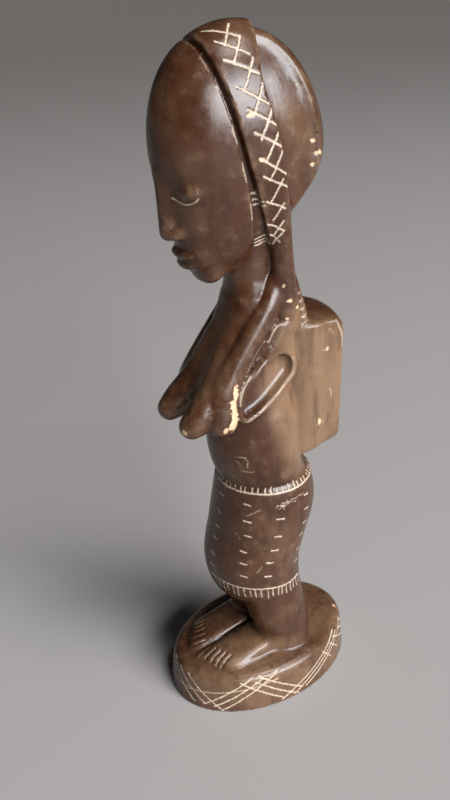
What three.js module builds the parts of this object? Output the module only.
// A statuette cut from one block of soft stone: a standing woman bent a little under a load, which hangs on her back
// from a carrying strap over the crown of her head. Figure, load and oval base are one solid.
import * as THREE from "three";

// Driving dimensions, in millimetres. +Z is up, the figure faces -Y, and +X is its left side.
// The origin is the middle of the oval base's underside.
const BASE = { halfLength: 63, halfWidth: 43.5, wall: 19, crown: 27, draft: 3, edge: 3 };
const HEAD = { y: -14, z: 328, pitch: 15, halfWidth: 28, halfDepth: 42, halfHeight: 58, taper: 0.3 };
const STRAP = { proud: 2.4, crownHalfWidth: 12, jawHalfWidth: 7, groove: 4.5, grooveWidth: 7 };

// Meshing: the grid step that samples the carving, and the number of triangles that the finished solid keeps.
const GRID_STEP = 2;
const TRIANGLES = 9600;

// Forms. Each is a function of a point that gives its distance to the surface, negative inside the stone.
const { abs, cos, hypot, max, min, PI, sin, sqrt } = Math;
const clamp = (v, low, high) => min(high, max(low, v));
const smoothstep = (v, low, high) => {
  const t = clamp((v - low) / (high - low), 0, 1);
  return t * t * (3 - 2 * t);
};

// Joins, trims and cuts with a fillet about as wide as r.
const join = (a, b, r) => {
  const h = max(r - abs(a - b), 0) / r;
  return min(a, b) - (h * h * r) / 4;
};
const trim = (a, b, r) => -join(-a, -b, r);
const cut = (a, b, r) => trim(a, -b, r);

// An ellipsoid; q is the point in units of its half axes.
const ellipsoid = (x, y, z, rx, ry, rz) => {
  const k = hypot(x / rx, y / ry, z / rz);
  const g = hypot(x / (rx * rx), y / (ry * ry), z / (rz * rz));
  return g < 1e-9 ? -min(rx, ry, rz) : (k * (k - 1)) / g;
};

// A limb from a to b with a radius at each end; flat squeezes it along X.
const limb = (x, y, z, a, b, ra, rb) => {
  const [dx, dy, dz] = [b[0] - a[0], b[1] - a[1], b[2] - a[2]];
  const t = clamp(((x - a[0]) * dx + (y - a[1]) * dy + (z - a[2]) * dz) / (dx * dx + dy * dy + dz * dz), 0, 1);
  return hypot(x - a[0] - t * dx, y - a[1] - t * dy, z - a[2] - t * dz) - (ra + t * (rb - ra));
};

const roundedBox = (x, y, z, hx, hy, hz, r) => {
  const [qx, qy, qz] = [abs(x) - hx + r, abs(y) - hy + r, abs(z) - hz + r];
  return hypot(max(qx, 0), max(qy, 0), max(qz, 0)) + min(max(qx, qy, qz), 0) - r;
};

// A column whose oval section changes with height: rows of [z, middle y, half width, front, back].
const column = (rows) => {
  const heights = rows.map((r) => r[0]);
  const curve = (k) => {
    const v = rows.map((r) => r[k]);
    return (z) => {
      if (z <= heights[0]) return v[0];
      if (z >= heights.at(-1)) return v.at(-1);
      const i = heights.findIndex((h) => h > z) - 1;
      const [j, m, n] = [max(i - 1, 0), i + 1, min(i + 2, v.length - 1)];
      const span = heights[m] - heights[i];
      const t = (z - heights[i]) / span;
      const before = ((v[m] - v[j]) / (heights[m] - heights[j])) * span;
      const after = ((v[n] - v[i]) / (heights[n] - heights[i])) * span;
      const [t2, t3] = [t * t, t * t * t];
      return (
        (2 * t3 - 3 * t2 + 1) * v[i] + (t3 - 2 * t2 + t) * before + (3 * t2 - 2 * t3) * v[m] + (t3 - t2) * after
      );
    };
  };
  const [middle, width, front, back] = [1, 2, 3, 4].map(curve);
  return (x, y, z) => {
    const v = y - middle(z);
    const [a, b] = [width(z), v < 0 ? front(z) : back(z)];
    const ends = max(heights[0] - z, z - heights.at(-1));
    return max(ellipsoid(x, v, 0, a, b, 1e6), ends);
  };
};

// The base: an oval disc with a nearly upright wall and a low domed top.
const base = (x, y, z) => {
  const inset = (BASE.draft * z) / BASE.crown;
  const wall = ellipsoid(x, y, 0, BASE.halfWidth - inset, BASE.halfLength - inset, 1e6);
  const dome = ellipsoid(x, y, z - BASE.crown + 60, 160, 230, 60);
  return max(trim(wall, dome, 2 * BASE.edge), -z);
};

// Feet and lower legs, one pair mirrored in X.
const foot = (ax, y, z) => {
  const sides = abs(ax - 12.8) - 12.2;
  const toes = -y - 50 + 0.02 * (ax - 1) * (ax + 8);
  const top = z - 33.5 - 0.2 * (y + 20) + 0.012 * (ax - 10) ** 2;
  return trim(trim(sides, max(toes, y - 12), 5), top, 4);
};
const lowerLeg = (ax, y, z) => {
  const t = (z - 30) / 50;
  const [cx, cy] = [15 - 2.5 * t, 10 - 12 * t];
  return ellipsoid(ax - cx, y - cy, 0, 15.5, 18 + 3 * t, 1e6);
};

const skirtForm = column([
  [64, 2, 20, 21, 20],
  [68, 0, 25, 26, 23],
  [74, -2, 28, 28.5, 25.5],
  [81, -3, 29.5, 30, 27],
  [93, -4, 30, 30.5, 28.5],
  [105, -2, 30.5, 31, 29.6],
  [113, 0, 30.5, 31, 30],
  [124, 2.5, 31, 31.5, 31],
  [135, 4.5, 30.5, 31.5, 30],
  [145, 5, 29.5, 30.5, 27.5],
  [150, 5, 28, 29, 26.5],
  [154, 5, 24, 25, 23],
]);

const torsoForm = column([
  [140, 5, 24, 24, 24],
  [150, 4, 26, 27, 24],
  [160, 2, 27.5, 29.5, 22],
  [175, 1, 28, 31, 22],
  [190, 0, 27.5, 29, 22],
  [205, -3, 23.5, 25, 24],
  [222, -4, 20.5, 23, 24],
  [240, -2, 18.5, 18, 22],
  [256, -1, 13, 14, 17],
]);

const neckForm = column([
  [240, -2, 15, 15, 16],
  [262, -3, 13, 14, 16],
  [285, -5, 13, 14, 16],
  [318, -8, 14, 16, 18],
]);

// A limb through several points, given as [x, y, z, radius].
const path = (x, y, z, points, r) => {
  let d = Infinity;
  for (let i = 1; i < points.length; i++) {
    const next = limb(x, y, z, points[i - 1], points[i], points[i - 1][3], points[i][3]);
    d = d === Infinity ? next : join(d, next, r);
  }
  return d;
};

const breast = (ax, y, z) =>
  path(ax, y, z, [[5, -5, 268, 6], [7, -14, 245, 7], [9.5, -24, 225, 7.5], [12, -42, 202, 9], [12.5, -48.5, 198.5, 6.5]], 2);
const chest = (x, y, z) => path(x, y, z, [[0, -4, 262, 10], [0, -14, 236, 11], [0, -20, 222, 11]], 2);

const upperArm = (ax, y, z) =>
  path(ax, y, z, [[10, 3, 272, 6], [14.5, -4, 253, 7.5], [14.5, -15, 238, 8], [15, -22.5, 225, 8], [19, -33.5, 198.5, 8]], 3);
// The forearm turns back from the elbow and closes a leaf-shaped hollow against the side of the body.
const FOLD = [[0, -19, 200, 3], [0, -8, 212, 5], [0, 1, 222.5, 6.5]];
const foldSide = (z) => 21.5 + 3 * smoothstep(-z, -235, -200);
const fold = (ax, y, z) => {
  const rim = path(0, y, z, [...FOLD.map(([a, b, c, r]) => [a, b, c, r + 4.5]), [0, 2, 240, 8]], 2);
  return trim(rim, ax - foldSide(z), 4);
};
const hollow = (ax, y, z) => trim(path(0, y, z, FOLD, 1), foldSide(z) - 5.5 - ax, 4);

// The load: a block with a rounded back, its front edges eased into the body and its underside rising to the rear.
const load = (x, y, z) => {
  const bulge = (x * x) / 130;
  const side = roundedBox(0, y + bulge - 28, z + bulge * 0.7 - 204, 1e3, 17.5, 42.5, 7);
  const under = (164 - z) * 0.97 + (y - 20) * 0.24;
  const front = (abs(x) - 24) * 0.7 - (y - 17) * 0.7;
  return trim(trim(trim(side, abs(x) - 24, 2.5), front, 5), under, 5);
};

// The strap's feet, from the jaw down to the shoulders and the load.
const strapFoot = (ax, y, z) =>
  path(ax, y, z, [[21, -2, 314, 5], [19.4, 0.3, 300, 5.5], [15.4, 5, 276, 5.5], [14.4, 8, 264, 6], [14.4, 11, 246, 8]], 2);

const cord = (ax, y, z) => path(ax, y, z, [[13, 14, 268, 2.2], [15.5, 16.5, 254, 3], [18, 18, 242, 3]], 1);

// The head's own axes: x across, v forwards and w up, pitched forwards about X.
const tilt = (HEAD.pitch * PI) / 180;
const headAxes = (y, z) => {
  const [dy, dz] = [y - HEAD.y, z - HEAD.z];
  return [-dy * cos(tilt) - dz * sin(tilt), -dy * sin(tilt) + dz * cos(tilt)];
};

const skull = (x, v, w) => {
  const low = smoothstep(-w, -3, 50);
  return ellipsoid(x, v - 15 * low, w - 3, 28 - 2.5 * low, 39 - 9 * low, 54.5);
};

const hair = (x, v, w) => {
  const side = abs(x) - 22 + 0.006 * max(w - 5, 0) ** 2;
  const under = (v + 30) * -0.54 + (w + 23) * -0.84;
  return trim(trim(ellipsoid(x, v + 15, w - 5, 27, 35.5, 49), side, 2), under, 8);
};

const strap = (x, v, w) => {
  const front = 5 - 0.03 * max(4 - w, 0) ** 1.4;
  const back = -12.3 - 0.016 * max(w - 28, 0) ** 2 + 0.1 * max(-10 - w, 0);
  return trim(ellipsoid(x, v + 7, w - 3, 29 - 2 * smoothstep(-w, 0, 30), 50, 56), max(v - front, back - v), 2.5);
};

const face = (ax, v, w, d) => {
  d = cut(d, ellipsoid(ax - 12, v - 42.5, w - 1, 10, 6, 7), 6);
  d = join(d, ellipsoid(ax - 11.5, v - 30.5, w + 1, 8.5, 6.3, 4.5), 1.5);
  d = join(d, limb(ax, v, w, [0, 36.5, 8], [0, 41.5, -19], 3, 4.4), 3);
  d = join(d, ellipsoid(ax - 4.6, v - 38.5, w + 20.5, 3.8, 4.2, 3.4), 1.5);
  d = join(d, ellipsoid(ax, v - 32, w + 34, 13, 6.5, 9), 6);
  d = join(d, ellipsoid(ax, v - 37.2, w + 31.6, 9.6, 4, 3), 1);
  d = join(d, ellipsoid(ax, v - 36.6, w + 37.2, 8.2, 4, 3.2), 0.8);
  return join(d, ellipsoid(ax, v - 28, w + 46, 10, 6, 6), 6);
};

function head(x, y, z) {
  const [v, w] = headAxes(y, z);
  const ax = abs(x);
  const mask = trim(face(ax, v, w, skull(x, v, w)), 8.3 - v, 1.5);
  const core = ellipsoid(x, v, w - 3, 23.5, 34, 50);
  let d = join(mask, core, 1);
  d = join(d, hair(x, v, w), 1.5);
  return join(d, strap(x, v, w), 1.5);
}

// The whole carving. Mirrored forms are read at the absolute x.
function statuette(x, y, z) {
  const ax = abs(x);
  let d = join(base(x, y, z), foot(ax, y, z), 3);
  d = join(d, lowerLeg(ax, y, z), 3);
  d = z > 80 ? 1e3 : d;
  d = join(d, skirtForm(x, y, z), 2);
  let body = join(torsoForm(x, y, z), neckForm(x, y, z), 8);
  body = join(body, chest(x, y, z), 5);
  body = join(body, breast(ax, y, z), 4);
  body = join(body, upperArm(ax, y, z), 1);
  body = join(body, strapFoot(ax, y, z), 2.5);
  body = join(body, cord(ax, y, z), 1);
  body = cut(join(body, fold(ax, y, z), 2), hollow(ax, y, z), 2.5);
  d = join(d, body, 1.5);
  d = join(d, load(x, y, z), 2);
  d = join(d, head(x, y, z), 2);
  return max(d, -z);
}

// Surface nets over the half with x >= 0: one vertex in each grid cell that the surface crosses, and a quad round
// each grid edge that it cuts. Vertices of the middle layer lie on x = 0, those of the lowest layer on z = 0.
function halfSkin(field, high, step) {
  const low = [-0.5 * step, -high[1] - step, -0.5 * step];
  const n = low.map((l, i) => Math.ceil((high[i] - l) / step) + 1);
  const at = (i, j, k) => i + n[0] * (j + n[1] * k);
  const values = new Float64Array(n[0] * n[1] * n[2]);
  const eachNode = (start, stop, visit) => {
    for (let k = start; k < n[2] - stop; k++)
      for (let j = start; j < n[1] - stop; j++) for (let i = start; i < n[0] - stop; i++) visit(i, j, k);
  };
  eachNode(0, 0, (i, j, k) => {
    const [x, y, z] = [i, j, k].map((c, m) => low[m] + c * step);
    values[at(i, j, k)] = k === 0 ? step : field(abs(x), y, z);
  });

  const corners = [0, 1, 2, 3, 4, 5, 6, 7].map((c) => [c & 1, (c >> 1) & 1, c >> 2]);
  const edges = corners.flatMap((a, i) => [1, 2, 4].filter((bit) => !(i & bit)).map((bit) => [a, corners[i | bit]]));
  const cell = new Int32Array(values.length).fill(-1);
  const points = [];
  eachNode(0, 1, (i, j, k) => {
    const sum = [0, 0, 0];
    let crossings = 0;
    for (const [a, b] of edges) {
      const va = values[at(i + a[0], j + a[1], k + a[2])];
      const vb = values[at(i + b[0], j + b[1], k + b[2])];
      if (va < 0 === vb < 0) continue;
      crossings++;
      for (let m = 0; m < 3; m++) sum[m] += a[m] + (va / (va - vb)) * (b[m] - a[m]);
    }
    if (!crossings) return;
    cell[at(i, j, k)] = points.length;
    const point = [i, j, k].map((c, m) => low[m] + step * (c + sum[m] / crossings));
    if (i === 0) point[0] = 0;
    if (k === 0) point[2] = 0;
    points.push(point);
  });

  // Each ring lists the cells round a grid edge that runs along one axis.
  const rings = [
    [[1, 0, 0], [[0, -1, -1], [0, 0, -1], [0, 0, 0], [0, -1, 0]]],
    [[0, 1, 0], [[-1, 0, -1], [-1, 0, 0], [0, 0, 0], [0, 0, -1]]],
    [[0, 0, 1], [[-1, -1, 0], [0, -1, 0], [0, 0, 0], [-1, 0, 0]]],
  ];
  const faces = [];
  eachNode(0, 1, (i, j, k) => {
    const here = values[at(i, j, k)] < 0;
    for (const [axis, ring] of rings) {
      if (here === values[at(i + axis[0], j + axis[1], k + axis[2])] < 0) continue;
      if (ring.some(([a, b, c]) => i + a < 0 || j + b < 0 || k + c < 0)) continue;
      const quad = ring.map(([a, b, c]) => cell[at(i + a, j + b, k + c)]);
      if (!here) quad.reverse();
      faces.push([quad[0], quad[1], quad[2]], [quad[0], quad[2], quad[3]]);
    }
  });
  return { points, faces };
}

// Moves every vertex along the field's slope onto the surface, and keeps those on x = 0 or z = 0 there.
function settle(points, field, rounds) {
  const e = 0.05;
  for (const p of points) {
    for (let n = 0; n < rounds; n++) {
      const d = field(abs(p[0]), p[1], p[2]);
      const slope = [0, 1, 2].map((m) => {
        if (p[m] === 0 && m !== 1) return 0;
        const [a, b] = [[...p], [...p]];
        a[m] -= e;
        b[m] += e;
        return (field(abs(b[0]), b[1], b[2]) - field(abs(a[0]), a[1], a[2])) / (2 * e);
      });
      const g = slope[0] ** 2 + slope[1] ** 2 + slope[2] ** 2;
      if (g < 0.05) break;
      for (let m = 0; m < 3; m++) p[m] -= clamp((d * slope[m]) / g, -0.3, 0.3);
    }
  }
}

// Thins the mesh to a number of faces by the quadric rule: the edge whose loss changes the shape least goes first.
function thin(points, faces, wanted) {
  const near = points.map(() => new Set());
  faces.forEach((f, i) => f.forEach((v) => near[v].add(i)));
  const normal = (f, at = (v) => points[v]) => {
    const [a, b, c] = f.map(at);
    const [u, w] = [b.map((q, m) => q - a[m]), c.map((q, m) => q - a[m])];
    return [u[1] * w[2] - u[2] * w[1], u[2] * w[0] - u[0] * w[2], u[0] * w[1] - u[1] * w[0]];
  };
  const quadrics = points.map(() => new Float64Array(10));
  const addPlane = (v, n, p, weight) => {
    const plane = [...n, -(n[0] * p[0] + n[1] * p[1] + n[2] * p[2])];
    for (let i = 0, m = 0; i < 4; i++) for (let j = i; j < 4; j++, m++) quadrics[v][m] += weight * plane[i] * plane[j];
  };
  for (const f of faces) {
    const n = normal(f);
    const size = hypot(...n);
    for (const v of f) addPlane(v, n.map((c) => c / size), points[f[0]], size);
  }
  points.forEach((p, v) => {
    if (p[0] === 0) addPlane(v, [1, 0, 0], p, 50);
    if (p[2] === 0) addPlane(v, [0, 0, 1], p, 50);
  });

  const version = new Int32Array(points.length);
  const around = (v) => new Set([...near[v]].flatMap((f) => faces[f]));
  const error = (q, [x, y, z]) =>
    q[0] * x * x + 2 * q[1] * x * y + 2 * q[2] * x * z + 2 * q[3] * x + q[4] * y * y +
    2 * q[5] * y * z + 2 * q[6] * y + q[7] * z * z + 2 * q[8] * z + q[9];

  // The best place for the vertex that replaces a and b: where their planes meet, or their middle.
  const meeting = (a, b) => {
    const q = quadrics[a].map((c, m) => c + quadrics[b][m]);
    const [pa, pb] = [points[a], points[b]];
    const held = [0, 1, 2].map((m) => m !== 1 && (pa[m] === 0 || pb[m] === 0));
    if ((held[0] && pa[0] !== pb[0]) || (held[2] && pa[2] !== pb[2])) {
      const place = [...(pa[0] === 0 || (pa[2] === 0 && pb[0] !== 0) ? pa : pb)];
      const lost = place.some((c, m) => held[m] && c !== 0);
      return { place, cost: lost ? Infinity : error(q, place) };
    }
    const place = pa.map((c, m) => (c + pb[m]) / 2);
    const free = [0, 1, 2].filter((m) => !held[m]);
    const row = [[0, 1, 2], [1, 4, 5], [2, 5, 7]];
    const span = hypot(...pa.map((c, m) => c - pb[m]));
    for (let n = 0; n < 12; n++)
      for (const m of free) {
        const others = [0, 1, 2].filter((k) => k !== m).reduce((s, k) => s + q[row[m][k]] * place[k], q[[3, 6, 8][m]]);
        if (q[row[m][m]] > 1e-9) place[m] = clamp(-others / q[row[m][m]], min(pa[m], pb[m]) - span, max(pa[m], pb[m]) + span);
      }
    return { place, cost: error(q, place) + 1e-4 * span ** 2 };
  };

  const heap = [];
  const swap = (i, j) => ([heap[i], heap[j]] = [heap[j], heap[i]]);
  const push = (a, b) => {
    const { place, cost } = meeting(a, b);
    if (cost === Infinity) return;
    heap.push({ a, b, place, cost, stamp: version[a] + version[b] });
    for (let i = heap.length - 1; i && heap[i].cost < heap[(i - 1) >> 1].cost; i = (i - 1) >> 1) swap(i, (i - 1) >> 1);
  };
  const pop = () => {
    swap(0, heap.length - 1);
    const top = heap.pop();
    for (let i = 0, c = 1; c < heap.length; i = c, c = 2 * i + 1) {
      if (c + 1 < heap.length && heap[c + 1].cost < heap[c].cost) c++;
      if (heap[i].cost <= heap[c].cost) break;
      swap(i, c);
    }
    return top;
  };
  points.forEach((p, v) => around(v).forEach((u) => u > v && push(v, u)));

  let left = faces.length;
  while (left > wanted && heap.length) {
    const { a, b, place, stamp } = pop();
    if (!near[a].size || !near[b].size || stamp !== version[a] + version[b]) continue;
    const shared = [...near[a]].filter((f) => near[b].has(f));
    const [ringA, ringB] = [around(a), around(b)];
    if ([...ringA].filter((v) => ringB.has(v)).length !== shared.length + 2) continue;
    if (points[a][0] === 0 && points[b][0] === 0 && shared.length !== 1) continue;
    const changed = [...near[a], ...near[b]].filter((f) => !shared.includes(f));
    const folds = changed.some((f) => {
      const [n, m] = [normal(faces[f]), normal(faces[f], (v) => (v === a || v === b ? place : points[v]))];
      return n[0] * m[0] + n[1] * m[1] + n[2] * m[2] < 0.3 * hypot(...n) * hypot(...m) || hypot(...m) < 0.05;
    });
    if (folds) continue;
    for (const f of shared) faces[f].forEach((v) => near[v].delete(f));
    for (const f of near[b]) {
      faces[f] = faces[f].map((v) => (v === b ? a : v));
      near[a].add(f);
    }
    near[b].clear();
    points[a] = place;
    quadrics[b].forEach((c, m) => (quadrics[a][m] += c));
    left -= shared.length;
    version[a]++;
    around(a).forEach((u) => u !== a && push(a, u));
  }
  const kept = [...new Set(faces.flatMap((f, i) => (near[f[0]].has(i) ? f : [])))];
  const index = new Map(kept.map((v, i) => [v, i]));
  return {
    points: kept.map((v) => points[v]),
    faces: faces.filter((f, i) => near[f[0]].has(i)).map((f) => f.map((v) => index.get(v))),
  };
}

// Adds the mirror image in x = 0, and shares the vertices that lie on it.
function mirror({ points, faces }) {
  const twin = points.map((p, i) => (p[0] === 0 ? i : -1));
  const all = [...points];
  points.forEach(([x, y, z], i) => {
    if (x !== 0) twin[i] = all.push([-x, y, z]) - 1;
  });
  return { points: all, faces: [...faces, ...faces.map(([a, b, c]) => [twin[a], twin[c], twin[b]])] };
}

const rough = halfSkin(statuette, [46, 66, 392], GRID_STEP);
settle(rough.points, statuette, 2);
const half = thin(rough.points, rough.faces, TRIANGLES / 2);
settle(half.points, statuette, 1);
const { points, faces } = mirror(half);

const geometry = new THREE.BufferGeometry();
geometry.setAttribute("position", new THREE.Float32BufferAttribute(points.flat(), 3));
geometry.setIndex(faces.flat());
geometry.computeVertexNormals();

const stone = new THREE.MeshStandardMaterial({ color: 0x5a3a26, roughness: 0.4, metalness: 0 });
const statuetteMesh = new THREE.Mesh(geometry, stone);
statuetteMesh.name = "statuette";

const object = new THREE.Group();
object.add(statuetteMesh);
export default object;
